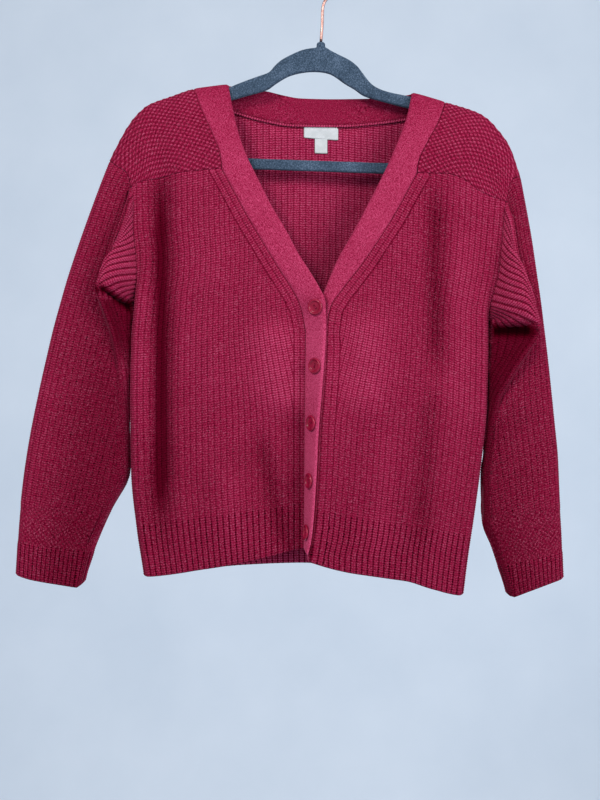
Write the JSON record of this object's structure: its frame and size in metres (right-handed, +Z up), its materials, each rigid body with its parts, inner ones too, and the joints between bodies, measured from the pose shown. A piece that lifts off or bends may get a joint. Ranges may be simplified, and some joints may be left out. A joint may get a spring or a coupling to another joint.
{
  "type": "button cardigan on a hanger",
  "caption": "Ribbed knit cardigan with a deep V, smooth button band and full sleeves, hung on a slim flocked hanger with a wire hook.",
  "frame": {"origin": "where the hanger's hook rests, at the inner top of its bend", "axes": "+Z up, +X to the right of someone facing the buttons, +Y from the front of the cardigan to its back"},
  "size_m": [0.6448, 0.0717, 0.7515],
  "materials": {
    "ribbed_wool": "ribbed knit, matt with a soft fuzz",
    "smooth_wool": "smooth double knit, matt",
    "button": "semi-gloss dyed plastic",
    "label": "smooth woven tape",
    "velvet_flock": "short velvet flock",
    "hook_metal": "polished plated wire"
  },
  "bodies": {
    "root": {"front_right": "ribbed_wool", "front_left": "ribbed_wool", "back": "ribbed_wool", "yoke_right": "ribbed_wool", "yoke_left": "ribbed_wool", "sleeve_right": "ribbed_wool", "sleeve_left": "ribbed_wool", "front_band": "smooth_wool", "button_1": "button", "button_2": "button", "button_3": "button", "button_4": "button", "button_5": "button", "label": "label", "size_tab": "label", "hanger": "velvet_flock", "hanger_hook": "hook_metal"}
  },
  "joints": []
}
